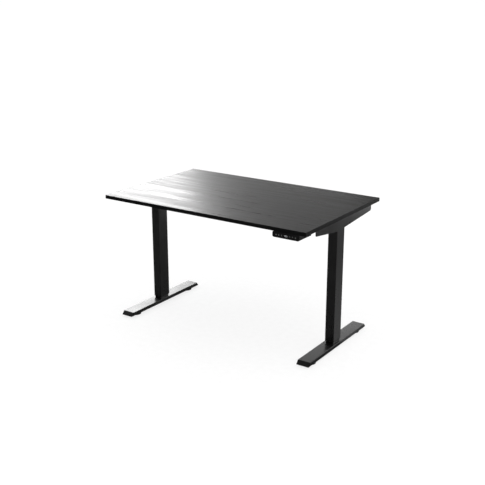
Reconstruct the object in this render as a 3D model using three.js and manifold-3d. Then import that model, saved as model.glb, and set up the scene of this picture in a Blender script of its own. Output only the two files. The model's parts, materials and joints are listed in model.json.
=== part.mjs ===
// Height adjustable standing desk with one motor, two telescopic legs and a control handset.
// Millimetres. X runs to the right, Y to the back and Z up; the origin is on the floor, in the
// middle of the desk. The desk stands at its lowest height.
import * as THREE from 'three';
import { mergeVertices } from 'three/addons/utils/BufferGeometryUtils.js';
import Module from 'manifold-3d';

const wasm = await Module();
wasm.setup();

// ---------------------------------------------------------------- driving dimensions
const DESK = { width: 1219, depth: 762, thickness: 19, height: 711, band: 2 };
const UNDERSIDE = DESK.height - DESK.thickness;
const LEG_X = 563;
const FOOT = { width: 70, height: 20, wall: 2, radius: 2, tubeLength: 576, capRun: 19, plug: 20, bottom: 10 };
const FOOT_TOP = FOOT.bottom + FOOT.height;
const LEVELLER = { y: 232, padRadius: 30, padHeight: 8, studRadius: 4, studTop: 27, nutFlats: 13, nutHeight: 6.5 };
const INNER = { width: 43, depth: 70, wall: 2, radius: 3, bottom: FOOT_TOP, top: 610, plate: 8 };
const OUTER = { width: 50, depth: 77, wall: 2, radius: 3, bottom: 42, top: 640 };
const SEAT = { height: 20, hole: 6 };
const BEARING = { radius: 14, height: 9.5 };
const SLIP = 0.25; // gap round a piece that is fitted into another
const PLATE = { inner: 505, outer: 588, depth: 190, thickness: 3, hole: 15 };
const RAIL = { y: 60, width: 25.5, height: 35.5, wall: 2, inner: 200, outer: 585, centreHalf: 300 };
const BRACKET = { sheet: 2.5, front: -256, rear: 323, frontDrop: 35, middleDrop: 64, rearDrop: 38, middleY: -41 };
const BRACKET_FLANGE = 30;
const SHAFT = { z: 664, acrossFlats: 12, half: 550, clearance: 8 }; // clearance: radius of the holes it passes
const GEARBOX = { inner: 525, outer: 586, halfDepth: 42, top: 684, wall: 2.5 };
const MITER = { teeth: 16, pitch: 16, face: 5, hubRadius: 9, hubLength: 7, bore: 7.25 };
const SCREW = { radius: 8, journal: 5, bottom: 80, top: 657 };
const WHEEL = { teeth: 30, pitch: 20, face: 14 };
const PINION = { teeth: 21, pitch: 14, face: 16 };
const MOTOR = { x: -420, caseWidth: 25, caseHalfDepth: 26, caseBottom: 604, caseTop: 690, wall: 2.5,
  canRadius: 22, canLength: 105 };
const MOTOR_Z = SHAFT.z - WHEEL.pitch - PINION.pitch;
const BOX = { halfWidth: 120, front: 180, rear: 290, bottom: 652, wall: 2, ear: 14 };
const INLET = { length: 20, depth: 16, wall: 3, y: [200, 228], z: [659, 681] };
const HANDSET = { x: 502, width: 145, front: -380, rear: -270, frontDrop: 29, rearDrop: 27, pocket: 13 };
const BEZEL = { width: 131.5, height: 20.5, thickness: 3, z: 677 };
const BUTTON = { radius: 5.5, length: 6.75, proud: 0.75, offsets: [21, 36.5, 52] };
const DISPLAY = { width: 25.5, height: 11.5, sunk: 0.5 };
const BOARD = { thickness: 1.5, handset: { width: 124, height: 18, behind: 8 }, control: { x: [-90, 110], margin: 8, z: 680 } };
const LEAD_RADIUS = 2.5;

// ---------------------------------------------------------------- finishes
const finish = (color, roughness, metalness) => new THREE.MeshStandardMaterial({ color, roughness, metalness });
const laminate = finish(0x2c2c2d, 0.42, 0);
const bandPlastic = finish(0x161616, 0.5, 0);
const powderCoat = finish(0x1d1d1e, 0.55, 0.2);
const blackPlastic = finish(0x111112, 0.5, 0);
const nylon = finish(0xd8d5cb, 0.5, 0);
const steel = finish(0x9a9c9e, 0.35, 1);
const zinc = finish(0x77797c, 0.45, 0.9);
const darkGlass = finish(0x08080a, 0.12, 0);
const keyPlastic = finish(0x1b1b1d, 0.45, 0);
const boardGreen = finish(0x1f4a2c, 0.5, 0);
const leadSheath = finish(0x0d0d0e, 0.6, 0);

// ---------------------------------------------------------------- shapes
function solid(geometry) {
  const bare = geometry.clone();
  bare.deleteAttribute('normal');
  bare.deleteAttribute('uv');
  const merged = mergeVertices(bare, 1e-4);
  const vertProperties = Float32Array.from(merged.attributes.position.array);
  const triVerts = Uint32Array.from(merged.index.array);
  return new wasm.Manifold(new wasm.Mesh({ numProp: 3, vertProperties, triVerts }));
}

function geometryOf(manifold) {
  const mesh = manifold.getMesh();
  const geometry = new THREE.BufferGeometry();
  geometry.setAttribute('position', new THREE.BufferAttribute(mesh.vertProperties, 3));
  geometry.setIndex(new THREE.BufferAttribute(mesh.triVerts, 1));
  return geometry;
}

function cut(geometry, ...tools) {
  return geometryOf(tools.reduce((body, tool) => body.subtract(solid(tool)), solid(geometry)));
}

function join(geometry, ...others) {
  return geometryOf(others.reduce((body, other) => body.add(solid(other)), solid(geometry)));
}

function block([x0, x1], [y0, y1], [z0, z1]) {
  const box = new THREE.BoxGeometry(x1 - x0, y1 - y0, z1 - z0);
  return box.translate((x0 + x1) / 2, (y0 + y1) / 2, (z0 + z1) / 2);
}

function roundedRectangle(width, height, radius) {
  const x = width / 2 - radius;
  const y = height / 2 - radius;
  const outline = new THREE.Shape();
  outline.absarc(x, y, radius, 0, Math.PI / 2);
  outline.absarc(-x, y, radius, Math.PI / 2, Math.PI);
  outline.absarc(-x, -y, radius, Math.PI, 1.5 * Math.PI);
  outline.absarc(x, -y, radius, 1.5 * Math.PI, 2 * Math.PI);
  return outline;
}

function extrude(outline, length, hole = null) {
  if (hole) outline.holes.push(hole);
  return new THREE.ExtrudeGeometry(outline, { depth: length, bevelEnabled: false, curveSegments: 3 });
}

// Upright tube of rounded rectangular section, round x = y = 0.
function uprightTube(width, depth, radius, wall, bottom, top) {
  const bore = roundedRectangle(width - 2 * wall, depth - 2 * wall, Math.max(radius - wall, 1));
  return extrude(roundedRectangle(width, depth, radius), top - bottom, bore).translate(0, 0, bottom);
}

// Outline given as (x, z), run along Y from start to end.
function alongY(outline, start, end, hole = null) {
  return extrude(outline, end - start, hole).rotateX(Math.PI / 2).translate(0, end, 0);
}

// Outline given as (y, z), run along X from start to end.
function alongX(outline, start, end, hole = null) {
  return extrude(outline, end - start, hole).rotateX(Math.PI / 2).rotateZ(Math.PI / 2).translate(start, 0, 0);
}

function polygon(points) {
  return new THREE.Shape(points.map(([x, y]) => new THREE.Vector2(x, y)));
}

function rod(radius, start, end, sides = 24) {
  const cylinder = new THREE.CylinderGeometry(radius, radius, end - start, sides);
  return cylinder.rotateX(Math.PI / 2).translate(0, 0, (start + end) / 2);
}

function rodAlongX(radius, start, end, sides = 24) {
  return rod(radius, start, end, sides).rotateY(Math.PI / 2);
}

function rodAlongY(radius, start, end, sides = 24) {
  return rod(radius, -end, -start, sides).rotateX(Math.PI / 2);
}

// Rectangular steel tube along X, whose section is centred on y and z.
function rail(y, z, width, height, start, end) {
  const { wall } = RAIL;
  const bore = roundedRectangle(width - 2 * wall, height - 2 * wall, 1);
  return alongX(roundedRectangle(width, height, 2.5), start, end, bore).translate(0, y, z);
}

// Gear outline with a tooth on local +X. Teeth fill less than half the pitch, for backlash.
function gearOutline(teeth, pitch, turn = 0) {
  const unit = (2 * pitch) / teeth;
  const tip = pitch + 0.8 * unit;
  const root = pitch - 1.1 * unit;
  const step = (2 * Math.PI) / teeth;
  const points = [];
  for (let tooth = 0; tooth < teeth; tooth += 1) {
    for (const [radius, share] of [[root, -0.27], [tip, -0.09], [tip, 0.09], [root, 0.27]]) {
      const angle = turn + (tooth + share) * step;
      points.push(new THREE.Vector2(radius * Math.cos(angle), radius * Math.sin(angle)));
    }
  }
  return new THREE.Shape(points);
}

// Miter gear with its cone's apex at the origin and its large end facing -Z.
function miterGear(bore, turn) {
  const teeth = extrude(gearOutline(MITER.teeth, MITER.pitch, turn), MITER.face).translate(0, 0, -MITER.pitch);
  const position = teeth.attributes.position;
  for (let i = 0; i < position.count; i += 1) {
    const scale = -position.getZ(i) / MITER.pitch;
    position.setXY(i, position.getX(i) * scale, position.getY(i) * scale);
  }
  const hub = rod(MITER.hubRadius, -MITER.pitch - MITER.hubLength, -MITER.pitch + 1);
  return cut(join(teeth, hub), rod(bore, -MITER.pitch - MITER.hubLength - 1, 1));
}

// Round lead along a smooth line through the given points.
function lead(points) {
  const path = new THREE.CatmullRomCurve3(points.map((point) => new THREE.Vector3(...point)), false, 'centripetal');
  const section = new THREE.Shape().absarc(0, 0, LEAD_RADIUS, 0, 2 * Math.PI);
  return new THREE.ExtrudeGeometry(section, { steps: 48, curveSegments: 4, extrudePath: path });
}

// ---------------------------------------------------------------- scene graph
const desk = new THREE.Group();

function add(name, geometry, material, x = 0, y = 0, z = 0) {
  const mesh = new THREE.Mesh(geometry, material);
  mesh.name = name;
  mesh.position.set(x, y, z);
  desk.add(mesh);
  return mesh;
}

// ---------------------------------------------------------------- foot and fixed column
function footTube() {
  const half = FOOT.tubeLength / 2;
  const bore = roundedRectangle(FOOT.width - 2 * FOOT.wall, FOOT.height - 2 * FOOT.wall, 1);
  const tube = alongY(roundedRectangle(FOOT.width, FOOT.height, FOOT.radius), -half, half, bore);
  tube.translate(0, 0, FOOT.bottom + FOOT.height / 2);
  const nutBottom = FOOT.bottom + FOOT.wall;
  const nutRadius = LEVELLER.nutFlats / Math.sqrt(3);
  const nuts = [];
  const holes = [];
  for (const y of [-LEVELLER.y, LEVELLER.y]) {
    nuts.push(rod(nutRadius, nutBottom - 0.5, nutBottom + LEVELLER.nutHeight, 6).translate(0, y, 0));
    holes.push(rod(LEVELLER.studRadius + SLIP, FOOT.bottom - 1, nutBottom + 10, 16).translate(0, y, 0));
  }
  for (const [x, y] of columnScrewPlaces()) {
    holes.push(rod(4.5, FOOT_TOP - 3, FOOT_TOP + 1, 12).translate(x, y, 0));
    holes.push(rod(9, FOOT.bottom - 1, FOOT.bottom + 3, 16).translate(x, y, 0));
  }
  return cut(join(tube, ...nuts), ...holes);
}

function columnScrewPlaces() {
  return [[-12, -24], [12, -24], [-12, 24], [12, 24]];
}

// Sloping cap with a plug that fits inside the foot tube; it faces the back when towards is 1.
function footCap(towards) {
  const start = FOOT.tubeLength / 2;
  const lip = 1.5;
  const outline = polygon([
    [start, FOOT.bottom], [start + FOOT.capRun, FOOT.bottom], [start + FOOT.capRun, FOOT.bottom + lip],
    [start + lip, FOOT_TOP], [start, FOOT_TOP],
  ]);
  const wedge = alongX(outline, -FOOT.width / 2, FOOT.width / 2);
  const side = FOOT.width / 2 - FOOT.wall - 2 * SLIP;
  const level = FOOT.wall + 2 * SLIP;
  const plug = block([-side, side], [start - FOOT.plug, start + 1], [FOOT.bottom + level, FOOT_TOP - level]);
  const cap = join(wedge, plug);
  return towards > 0 ? cap : cap.rotateZ(Math.PI);
}

function leveller() {
  const { padRadius, padHeight, studRadius, studTop } = LEVELLER;
  const profile = [
    [0, 0], [padRadius - 1, 0], [padRadius, 1], [padRadius, padHeight - 2], [padRadius - 2, padHeight],
    [studRadius, padHeight], [studRadius, studTop - 1], [studRadius - 1, studTop], [0, studTop],
  ].map(([radius, z]) => new THREE.Vector2(radius, z));
  return new THREE.LatheGeometry(profile, 24).rotateX(Math.PI / 2);
}

function innerColumn() {
  const tube = uprightTube(INNER.width, INNER.depth, INNER.radius, INNER.wall, INNER.bottom, INNER.top);
  const width = INNER.width - 2 * INNER.wall + 1;
  const depth = INNER.depth - 2 * INNER.wall + 1;
  const plate = extrude(roundedRectangle(width, depth, 2), INNER.plate).translate(0, 0, INNER.bottom);
  const holes = columnScrewPlaces().map(([x, y]) => rod(4, FOOT_TOP - 1, FOOT_TOP + 9, 12).translate(x, y, 0));
  return cut(join(tube, plate), ...holes);
}

function leadNut() {
  const width = INNER.width - 2 * INNER.wall - 2 * SLIP;
  const depth = INNER.depth - 2 * INNER.wall - 2 * SLIP;
  const height = 40;
  const body = extrude(roundedRectangle(width, depth, 2), height).translate(0, 0, INNER.top - height - 0.5);
  return cut(body, rod(SCREW.radius + 0.3, INNER.top - height - 2, INNER.top + 1, 16));
}

function upperGlide() {
  const width = OUTER.width - 2 * OUTER.wall - 2 * SLIP;
  const depth = OUTER.depth - 2 * OUTER.wall - 2 * SLIP;
  return uprightTube(width, depth, OUTER.radius - OUTER.wall, 1, INNER.top - 38, INNER.top - 1);
}

// ---------------------------------------------------------------- moving column and its head
function bottomCollar() {
  const wall = 1;
  const width = OUTER.width - 2 * OUTER.wall - 2 * SLIP;
  const depth = OUTER.depth - 2 * OUTER.wall - 2 * SLIP;
  const lipHeight = 3;
  const lipWall = (OUTER.width - width) / 2 + wall;
  const lip = uprightTube(OUTER.width, OUTER.depth, OUTER.radius, lipWall, OUTER.bottom - lipHeight, OUTER.bottom);
  const sleeve = uprightTube(width, depth, OUTER.radius - OUTER.wall, wall, OUTER.bottom - 1, OUTER.bottom + 38);
  return join(lip, sleeve);
}

// Head plate with the two extension rails welded on; side is 1 on the right and -1 on the left.
function headFrame(side) {
  const spanX = [side * PLATE.inner, side * PLATE.outer].sort((a, b) => a - b);
  const top = OUTER.top + PLATE.thickness;
  const plate = block(spanX, [-PLATE.depth / 2, PLATE.depth / 2], [OUTER.top, top]);
  const ends = [side * RAIL.inner, side * RAIL.outer].sort((a, b) => a - b);
  const railZ = top + RAIL.height / 2;
  const rails = [-RAIL.y, RAIL.y].map((y) => rail(y, railZ, RAIL.width, RAIL.height, ...ends));
  const hole = rod(PLATE.hole, OUTER.top - 1, top + 1).translate(side * LEG_X, 0, 0);
  const seats = rails.map((tube) => tube.translate(0, 0, -0.02));
  return cut(join(plate, ...seats), hole);
}

// Outer tube with the bearing seat welded in at its top.
function outerColumn() {
  const tube = uprightTube(OUTER.width, OUTER.depth, OUTER.radius, OUTER.wall, OUTER.bottom, OUTER.top);
  const width = OUTER.width - OUTER.wall;
  const depth = OUTER.depth - OUTER.wall;
  const seat = extrude(roundedRectangle(width, depth, OUTER.radius), SEAT.height);
  seat.translate(0, 0, OUTER.top - SEAT.height);
  const shaftHole = rod(SEAT.hole, OUTER.top - SEAT.height - 1, OUTER.top + 1);
  const bearingHole = rod(BEARING.radius + 0.3, OUTER.top - BEARING.height - 0.5, OUTER.top + 1);
  return cut(join(tube, seat), shaftHole, bearingHole);
}

function thrustBearing() {
  const bottom = OUTER.top - BEARING.height - 0.2;
  return cut(rod(BEARING.radius, bottom, OUTER.top - 0.5), rod(SCREW.journal + 0.3, bottom - 1, OUTER.top));
}

function leadScrew() {
  const shoulder = OUTER.top - SEAT.height - 0.5;
  const profile = [
    [0, SCREW.bottom], [SCREW.radius - 1.5, SCREW.bottom], [SCREW.radius, SCREW.bottom + 2],
    [SCREW.radius, shoulder], [SCREW.journal, shoulder], [SCREW.journal, SCREW.top], [0, SCREW.top],
  ].map(([radius, z]) => new THREE.Vector2(radius, z));
  return new THREE.LatheGeometry(profile, 16).rotateX(Math.PI / 2);
}

// Cover over the miter gears, open below, with a hole for the drive shaft.
function gearboxCover(side) {
  const { inner, outer, halfDepth, top, wall } = GEARBOX;
  const bottom = OUTER.top + PLATE.thickness;
  const spanX = [side * inner, side * outer].sort((a, b) => a - b);
  const shell = block(spanX, [-halfDepth, halfDepth], [bottom, top]);
  const spanY = [-halfDepth + wall, halfDepth - wall];
  const hollow = block([spanX[0] + wall, spanX[1] - wall], spanY, [bottom - 1, top - wall]);
  const shaftHole = rodAlongX(SHAFT.clearance, side * inner - 5, side * inner + 5).translate(0, 0, SHAFT.z);
  return cut(shell, hollow, shaftHole);
}

// Folded sheet bracket: an upright web outside the leg and a flange under the desktop.
function sideBracket(side) {
  const { sheet, front, rear, frontDrop, middleDrop, rearDrop, middleY } = BRACKET;
  const inner = LEG_X + OUTER.width / 2;
  const corner = 8;
  const outline = new THREE.Shape();
  outline.moveTo(front, UNDERSIDE);
  outline.lineTo(front, UNDERSIDE - frontDrop + corner);
  outline.quadraticCurveTo(front, UNDERSIDE - frontDrop, front + corner, UNDERSIDE - frontDrop - 1);
  outline.lineTo(middleY, UNDERSIDE - middleDrop);
  outline.lineTo(rear - corner, UNDERSIDE - rearDrop);
  outline.quadraticCurveTo(rear, UNDERSIDE - rearDrop, rear, UNDERSIDE - rearDrop + corner);
  outline.lineTo(rear, UNDERSIDE);
  const webX = [side * inner, side * (inner + sheet)].sort((a, b) => a - b);
  const web = alongX(outline, ...webX);
  const flangeX = [side * (inner - BRACKET_FLANGE), side * (inner + 1)].sort((a, b) => a - b);
  const flange = block(flangeX, [front, rear], [UNDERSIDE - sheet, UNDERSIDE]);
  return join(web, flange);
}

function buildLeg(side) {
  const hand = side > 0 ? 'right' : 'left';
  const x = side * LEG_X;
  add(`${hand}_foot`, footTube(), powderCoat, x);
  add(`${hand}_foot_cap_front`, footCap(-1), blackPlastic, x);
  add(`${hand}_foot_cap_rear`, footCap(1), blackPlastic, x);
  add(`${hand}_leveller_front`, leveller(), blackPlastic, x, -LEVELLER.y);
  add(`${hand}_leveller_rear`, leveller(), blackPlastic, x, LEVELLER.y);
  add(`${hand}_inner_column`, innerColumn(), powderCoat, x);
  add(`${hand}_lead_nut`, leadNut(), nylon, x);
  add(`${hand}_upper_glide`, upperGlide(), nylon, x);
  add(`${hand}_outer_column`, outerColumn(), powderCoat, x);
  add(`${hand}_bottom_collar`, bottomCollar(), blackPlastic, x);
  add(`${hand}_thrust_bearing`, thrustBearing(), steel, x);
  add(`${hand}_lead_screw`, leadScrew(), steel, x);
  add(`${hand}_screw_gear`, miterGear(SCREW.journal + 0.3, 0), steel, x, 0, SHAFT.z);
  const shaftGear = miterGear(MITER.bore, Math.PI / MITER.teeth);
  add(`${hand}_shaft_gear`, shaftGear, steel, x, 0, SHAFT.z).rotation.y = side * Math.PI / 2;
  add(`${hand}_head_frame`, headFrame(side), powderCoat);
  add(`${hand}_gearbox_cover`, gearboxCover(side), blackPlastic);
  add(`${hand}_side_bracket`, sideBracket(side), powderCoat);
}

// ---------------------------------------------------------------- top and cross rails
function buildTop() {
  const { width, depth, thickness, height, band } = DESK;
  const core = new THREE.BoxGeometry(width - 2 * band, depth - 2 * band, thickness);
  add('desktop', core, laminate, 0, 0, height - thickness / 2);
  const outline = roundedRectangle(width, depth, 1);
  const opening = polygon([[-1, -1], [1, -1], [1, 1], [-1, 1]].map(([x, y]) => [
    x * (width / 2 - band), y * (depth / 2 - band),
  ]));
  add('desktop_edge_band', extrude(outline, thickness, opening), bandPlastic, 0, 0, UNDERSIDE);
  const railZ = OUTER.top + PLATE.thickness + RAIL.height / 2;
  const grow = 2 * (RAIL.wall + SLIP);
  for (const [name, y] of [['front_cross_rail', -RAIL.y], ['rear_cross_rail', RAIL.y]]) {
    const tube = rail(y, railZ, RAIL.width + grow, RAIL.height + grow, -RAIL.centreHalf, RAIL.centreHalf);
    add(name, tube, powderCoat);
  }
}

// ---------------------------------------------------------------- motor and drive shaft
function buildDrive() {
  const hexRadius = SHAFT.acrossFlats / Math.sqrt(3);
  add('drive_shaft', rodAlongX(hexRadius, -SHAFT.half, SHAFT.half, 6), steel, 0, 0, SHAFT.z);
  const { x, caseWidth, caseHalfDepth, caseBottom, caseTop, wall, canRadius, canLength } = MOTOR;
  const spanY = [-caseHalfDepth, caseHalfDepth];
  const shell = block([x, x + caseWidth], spanY, [caseBottom, caseTop]);
  const hollow = block(
    [x - 1, x + caseWidth - wall], [-caseHalfDepth + wall, caseHalfDepth - wall], [caseBottom + wall, caseTop - wall],
  );
  const farWall = [x + caseWidth - wall - 1, x + caseWidth + 1];
  const shaftHole = rodAlongX(SHAFT.clearance, ...farWall).translate(0, 0, SHAFT.z);
  const motorHole = rodAlongX(6, ...farWall).translate(0, 0, MOTOR_Z);
  add('motor_gear_case', cut(shell, hollow, shaftHole, motorHole), zinc);
  const lid = block([x - wall, x], spanY, [caseBottom, caseTop]);
  add('motor_gear_lid', cut(lid, rodAlongX(SHAFT.clearance, x - 5, x + 1).translate(0, 0, SHAFT.z)), zinc);
  const canStart = x + caseWidth;
  const can = rodAlongX(canRadius, canStart, canStart + canLength, 32).translate(0, 0, MOTOR_Z);
  add('motor_can', cut(can, rodAlongX(5, canStart - 1, canStart + 12, 16).translate(0, 0, MOTOR_Z)), blackPlastic);
  const gearStart = x + 2; // end play against the lid
  const wheel = extrude(gearOutline(WHEEL.teeth, WHEEL.pitch), WHEEL.face);
  const wheelBore = rod(MITER.bore, -1, WHEEL.face + 1);
  add('shaft_wheel', cut(wheel, wheelBore), steel, gearStart, 0, SHAFT.z).rotation.y = Math.PI / 2;
  const pinion = extrude(gearOutline(PINION.teeth, PINION.pitch), PINION.face); // odd count: a gap faces the wheel
  const pinionShaft = rod(4, 1, PINION.face + 14, 16);
  add('motor_pinion', join(pinion, pinionShaft), steel, gearStart, 0, MOTOR_Z).rotation.y = Math.PI / 2;
  const leadRoute = [
    [canStart + canLength + SLIP, 12, 628], [-268, 12, 628], [-252, 16, 644], [-244, 21, 670], [-235, 30, 687],
    [-215, 60, 688.5], [-190, 140, 688.5], [-170, 215, 688], [-156, 250, 682], [-142, 263, 673],
    [-BOX.halfWidth - 12, 265, 671], [-BOX.halfWidth - SLIP, 265, 671],
  ];
  add('motor_lead', lead(leadRoute), leadSheath);
}

// ---------------------------------------------------------------- control box
function buildControlBox() {
  const { halfWidth, front, rear, bottom, wall, ear } = BOX;
  const plateBottom = UNDERSIDE - wall;
  add('control_box_plate', block([-halfWidth - ear, halfWidth + ear], [front, rear], [plateBottom, UNDERSIDE]), zinc);
  const shell = block([-halfWidth, halfWidth], [front, rear], [bottom, plateBottom]);
  const hollow = block(
    [-halfWidth + wall, halfWidth - wall], [front + wall, rear - wall], [bottom + wall, plateBottom + 1],
  );
  add('control_box_cover', cut(shell, hollow), blackPlastic);
  const inlet = block([-halfWidth - INLET.length, -halfWidth], INLET.y, INLET.z);
  const inset = ([low, high]) => [low + INLET.wall, high - INLET.wall];
  const mouth = -halfWidth - INLET.length;
  const socket = block([mouth - 1, mouth + INLET.depth], inset(INLET.y), inset(INLET.z));
  add('power_inlet', cut(inlet, socket), blackPlastic);
  const { x, margin, z } = BOARD.control;
  add('control_board', block(x, [front + margin, rear - margin], [z, z + BOARD.thickness]), boardGreen);
}

// ---------------------------------------------------------------- handset
function buildHandset() {
  const { x, width, front, rear, frontDrop, rearDrop, pocket: pocketDepth } = HANDSET;
  const half = width / 2;
  const outline = polygon([
    [front, UNDERSIDE], [front, UNDERSIDE - frontDrop + 3], [front + 3, UNDERSIDE - frontDrop],
    [rear - 8, UNDERSIDE - rearDrop], [rear, UNDERSIDE - rearDrop + 6], [rear, UNDERSIDE],
  ]);
  const body = alongX(outline, x - half, x + half);
  const pocketHalf = BEZEL.width / 2 + SLIP;
  const pocketZ = [BEZEL.z - BEZEL.height / 2 - SLIP, BEZEL.z + BEZEL.height / 2 + SLIP];
  const pocket = block([x - pocketHalf, x + pocketHalf], [front - 1, front + pocketDepth], pocketZ);
  add('handset_body', cut(body, pocket), blackPlastic);

  const bezelHalf = BEZEL.width / 2;
  const bezelZ = [BEZEL.z - BEZEL.height / 2, BEZEL.z + BEZEL.height / 2];
  const bezel = block([x - bezelHalf, x + bezelHalf], [front, front + BEZEL.thickness], bezelZ);
  const openings = buttonPlaces().map(([, buttonX]) => {
    return rodAlongY(BUTTON.radius + 0.3, front - 1, front + BEZEL.thickness + 1).translate(buttonX, 0, BEZEL.z);
  });
  const glassX = [x - DISPLAY.width / 2, x + DISPLAY.width / 2];
  const glassZ = [BEZEL.z - DISPLAY.height / 2, BEZEL.z + DISPLAY.height / 2];
  const grow = ([low, high]) => [low - SLIP, high + SLIP];
  const window = block(grow(glassX), [front - 1, front + BEZEL.thickness + 1], grow(glassZ));
  add('handset_bezel', cut(bezel, ...openings, window), blackPlastic);
  add('handset_display', block(glassX, [front + DISPLAY.sunk, front + BEZEL.thickness + 1], glassZ), darkGlass);
  const board = BOARD.handset;
  const boardY = [front + board.behind, front + board.behind + BOARD.thickness];
  const boardZ = [BEZEL.z - board.height / 2, BEZEL.z + board.height / 2];
  add('handset_board', block([x - board.width / 2, x + board.width / 2], boardY, boardZ), boardGreen);
  for (const [name, buttonX] of buttonPlaces()) {
    const cap = rodAlongY(BUTTON.radius, front - BUTTON.proud, front - BUTTON.proud + BUTTON.length, 20);
    add(name, cap, keyPlastic, buttonX, 0, BEZEL.z);
  }
  const leadRoute = [
    [x, rear + SLIP, 685.5], [x, rear + 10, 685.5], [x, -250, 686.5], [x, -220, 688.5], [500, -140, 688.5],
    [490, -40, 688.5], [455, 90, 688.5], [380, 180, 688.5], [280, 225, 688.5], [200, 234, 688], [170, 235, 684],
    [148, 235, 674],
    [BOX.halfWidth + 12, 235, 671], [BOX.halfWidth + SLIP, 235, 671],
  ];
  add('handset_lead', lead(leadRoute), leadSheath);
}

function buttonPlaces() {
  const [near, middle, far] = BUTTON.offsets;
  return [
    ['button_up', HANDSET.x - far], ['button_down', HANDSET.x - middle], ['button_memory', HANDSET.x - near],
    ['button_1', HANDSET.x + near], ['button_2', HANDSET.x + middle], ['button_3', HANDSET.x + far],
  ];
}

buildTop();
buildLeg(-1);
buildLeg(1);
buildDrive();
buildControlBox();
buildHandset();

export default desk;
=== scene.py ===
import json
import math

import bmesh
import bpy
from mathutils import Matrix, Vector


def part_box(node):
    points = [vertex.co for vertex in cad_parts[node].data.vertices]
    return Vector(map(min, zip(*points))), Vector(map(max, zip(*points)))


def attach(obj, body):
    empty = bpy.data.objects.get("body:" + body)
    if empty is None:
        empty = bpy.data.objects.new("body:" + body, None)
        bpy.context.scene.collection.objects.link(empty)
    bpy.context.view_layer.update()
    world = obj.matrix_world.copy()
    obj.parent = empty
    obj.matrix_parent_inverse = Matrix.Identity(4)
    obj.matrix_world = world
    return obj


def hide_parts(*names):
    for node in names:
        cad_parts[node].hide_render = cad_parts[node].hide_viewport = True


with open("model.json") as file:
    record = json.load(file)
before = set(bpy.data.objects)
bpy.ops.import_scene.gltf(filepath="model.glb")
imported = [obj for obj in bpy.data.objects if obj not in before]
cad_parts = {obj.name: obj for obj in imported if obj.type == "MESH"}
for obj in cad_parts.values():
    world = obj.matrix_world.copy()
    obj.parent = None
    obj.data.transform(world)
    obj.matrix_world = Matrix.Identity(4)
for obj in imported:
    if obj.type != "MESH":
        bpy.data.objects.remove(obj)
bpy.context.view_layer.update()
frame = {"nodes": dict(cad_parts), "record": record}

MM = 0.001
TINY = 0.05 * MM
UP = Vector((0, 0, 1))
RIGHT = Vector((1, 0, 0))
BACK = Vector((0, 1, 0))
SIDES = {"left": -1, "right": 1}


# ---------------------------------------------------------------- workshop: picking and shaping
def grab(*pieces):
    """Selects these pieces alone, the last one active."""
    bpy.ops.object.select_all(action="DESELECT")
    for piece in pieces:
        piece.select_set(True)
    bpy.context.view_layer.objects.active = pieces[-1]


def settle(piece, name):
    """Puts the piece's place, turn and size into its mesh, and names it."""
    grab(piece)
    bpy.ops.object.transform_apply(location=True, rotation=True, scale=True)
    piece.name = name
    piece.data.name = name
    return piece


def open_edit(piece, kind, wanted):
    """Opens the piece in edit mode with only the wanted faces, edges or corners selected."""
    grab(piece)
    bpy.ops.object.mode_set(mode="EDIT")
    bpy.ops.mesh.select_mode(type=kind)
    bpy.ops.mesh.select_all(action="DESELECT")
    mesh = bmesh.from_edit_mesh(piece.data)
    mesh.normal_update()
    items = {"FACE": mesh.faces, "EDGE": mesh.edges, "VERT": mesh.verts}[kind]
    for item in items:
        if wanted(item):
            item.select_set(True)
    mesh.select_flush_mode()
    bmesh.update_edit_mesh(piece.data)


def close_edit():
    bpy.ops.object.mode_set(mode="OBJECT")


def everything(item):
    return True


def facing(direction):
    return lambda face: face.normal.dot(direction) > 0.95


def runs_along(direction):
    def wanted(edge):
        span = edge.verts[1].co - edge.verts[0].co
        return span.length > TINY and abs(span.normalized().dot(direction)) > 0.999
    return wanted


def lies_at(direction, distance):
    """True for what lies wholly on the plane at that distance along the direction."""
    def wanted(item):
        corners = item.verts if hasattr(item, "verts") else [item]
        return all(abs(corner.co.dot(direction) - distance) < TINY for corner in corners)
    return wanted


def bevel(piece, width, segments, wanted):
    open_edit(piece, "EDGE", wanted)
    bpy.ops.mesh.bevel(offset=width, segments=segments, affect="EDGES")
    close_edit()


def pull(by):
    """Draws the open faces along by this much, with new walls behind them."""
    bpy.ops.mesh.extrude_region_move(TRANSFORM_OT_translate={"value": by})


def hollow(piece, opening, wall, depth):
    """Sinks a hollow into the side that looks along the opening's direction."""
    open_edit(piece, "FACE", facing(opening))
    bpy.ops.mesh.inset(thickness=wall)
    pull(-depth * opening)
    close_edit()


def ease(piece, width=0.4 * MM, segments=2, angle=35):
    """Takes the sharpness off every edge and shades the round stretches smooth."""
    grab(piece)
    bpy.ops.object.modifier_add(type="BEVEL")
    rounding = piece.modifiers[-1]
    rounding.width = width
    rounding.segments = segments
    rounding.limit_method = "ANGLE"
    rounding.angle_limit = math.radians(angle)
    bpy.ops.object.modifier_apply(modifier=rounding.name)
    bpy.ops.object.shade_smooth_by_angle(angle=math.radians(30))
    return piece


def bore(piece, *cutters):
    """Cuts the cutters out of the piece and throws them away."""
    for cutter in cutters:
        grab(piece)
        bpy.ops.object.modifier_add(type="BOOLEAN")
        cutting = piece.modifiers[-1]
        cutting.operation = "DIFFERENCE"
        cutting.solver = "EXACT"
        cutting.object = cutter
        bpy.ops.object.modifier_apply(modifier=cutting.name)
        bpy.data.objects.remove(cutter)
    return piece


def together(name, *pieces):
    """Joins finished pieces that are one part in the real desk."""
    grab(*pieces)
    if len(pieces) > 1:
        bpy.ops.object.join()
    joined = bpy.context.object
    joined.name = name
    joined.data.name = name
    return joined


# ---------------------------------------------------------------- workshop: stock
def bar(name, low, high):
    bpy.ops.object.select_all(action="DESELECT")
    low, high = Vector(low), Vector(high)
    bpy.ops.mesh.primitive_cube_add(size=1, location=(low + high) / 2)
    piece = bpy.context.object
    piece.scale = high - low
    return settle(piece, name)


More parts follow.
